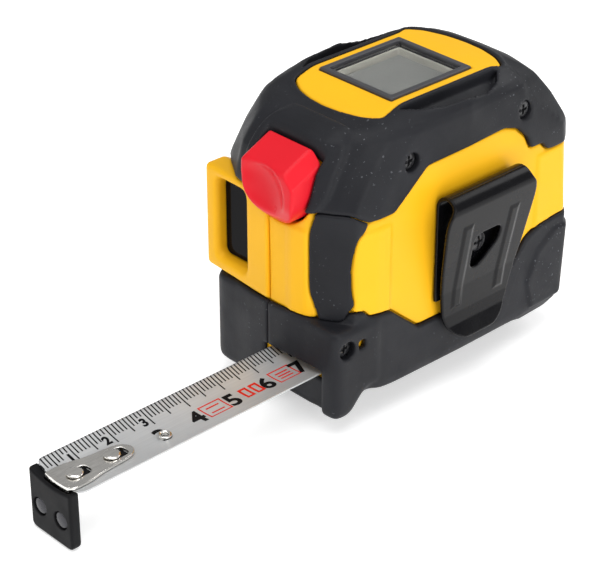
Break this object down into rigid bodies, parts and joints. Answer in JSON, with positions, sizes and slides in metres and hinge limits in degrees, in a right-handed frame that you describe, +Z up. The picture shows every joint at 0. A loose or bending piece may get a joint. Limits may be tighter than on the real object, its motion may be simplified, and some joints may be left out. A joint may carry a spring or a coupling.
{
  "type": "laser tape measure",
  "caption": "Pocket tape measure with a built-in laser rangefinder: moulded case with rubber grips, top display, steel blade with magnetic end hook, blade lock and belt clip.",
  "frame": {"origin": "middle of the rear foot's flat face, in the plane the case stands on", "axes": "+X the way the blade pulls out, +Y towards the belt-clip side, +Z up with the case standing on its feet"},
  "size_m": [0.1471, 0.0503, 0.0727],
  "materials": {
    "yellow_plastic": "matte, fine moulded grain",
    "rubber": "soft matte rubber",
    "black_plastic": "satin",
    "grey_plastic": "satin",
    "pale_plastic": "matte",
    "red_plastic": "semi-gloss",
    "lens_black": "high gloss",
    "clear_plastic": "clear gloss",
    "lcd": "matte",
    "circuit_board": "satin lacquer",
    "tape_steel": "satin, printed scale",
    "spring_steel": "oiled",
    "plain_steel": "satin",
    "nickel": "polished nickel",
    "brass": "machined",
    "black_steel": "black, glossy",
    "cell_sleeve": "printed metal sleeve"
  },
  "bodies": {
    "case": {"near_shell": "yellow_plastic", "far_shell": "yellow_plastic", "cap_grip": "rubber", "near_bumper": "rubber", "far_bumper": "rubber", "corner_grip": "rubber", "battery_door": "black_plastic", "chamber_divider": "black_plastic", "case_screw_top_front": "black_steel", "case_screw_top_rear": "black_steel", "case_screw_bottom_front": "black_steel", "key_board": "circuit_board", "blade_lead": "tape_steel", "display_plate": "yellow_plastic", "display_bezel": "grey_plastic", "display_window": "clear_plastic", "display_carrier": "pale_plastic", "display_panel": "lcd", "main_board": "circuit_board", "laser_block": "black_plastic", "laser_emitter": "brass", "receiver_lens": "clear_plastic", "receiver_sensor": "circuit_board", "laser_window": "lens_black", "battery_1": "cell_sleeve", "battery_2": "cell_sleeve", "contact_front": "nickel", "contact_rear": "nickel", "reel_axle": "plain_steel", "clip_base": "black_steel", "clip_screw": "black_steel"},
    "blade": {"blade": "tape_steel", "hook_rivet_1": "nickel", "hook_rivet_2": "nickel", "blade_eyelet": "nickel"},
    "hook": {"hook_strap": "nickel", "hook_cover": "black_plastic", "hook_magnet_1": "nickel", "hook_magnet_2": "nickel"},
    "reel": {"reel_drum": "black_plastic", "reel_lid": "black_plastic", "power_spring": "spring_steel", "blade_coil": "tape_steel"},
    "lock": {"lock_button": "red_plastic", "brake_arm": "spring_steel", "brake_pad": "rubber"},
    "clip": {"clip_leaf": "black_steel"},
    "measure_key": {"measure_key": "red_plastic"},
    "mode_key": {"mode_key": "grey_plastic"}
  },
  "joints": [
    {"name": "blade_slide", "type": "slide", "parent": "case", "child": "blade", "axis": [1, 0, 0], "range_m": [-0.0665, 0]},
    {"name": "reel_spin", "type": "hinge", "parent": "case", "child": "reel", "pos_m": [0.0279, 0.013, 0.031], "axis": [0, -1, 0], "range_deg": [-206, 0]},
    {"name": "hook_float", "type": "slide", "parent": "blade", "child": "hook", "axis": [1, 0, 0], "range_m": [0, 0.0016]},
    {"name": "lock_slide", "type": "slide", "parent": "case", "child": "lock", "axis": [0, 0, 1], "range_m": [0, 0.0025]},
    {"name": "clip_flex", "type": "hinge", "parent": "case", "child": "clip", "pos_m": [0.0279, 0.0298, 0.0466], "axis": [1, 0, 0], "range_deg": [0, 9], "stiffness_Nm_per_rad": 1.2},
    {"name": "measure_key_press", "type": "slide", "parent": "case", "child": "measure_key", "axis": [0, 1, 0], "range_m": [0, 0.0008], "stiffness_N_per_m": 600},
    {"name": "mode_key_press", "type": "slide", "parent": "case", "child": "mode_key", "axis": [0, 1, 0], "range_m": [0, 0.0008], "stiffness_N_per_m": 600}
  ],
  "couplings": [
    {"joint": "reel_spin", "follows": "blade_slide", "rad_per_m": 53.763}
  ]
}
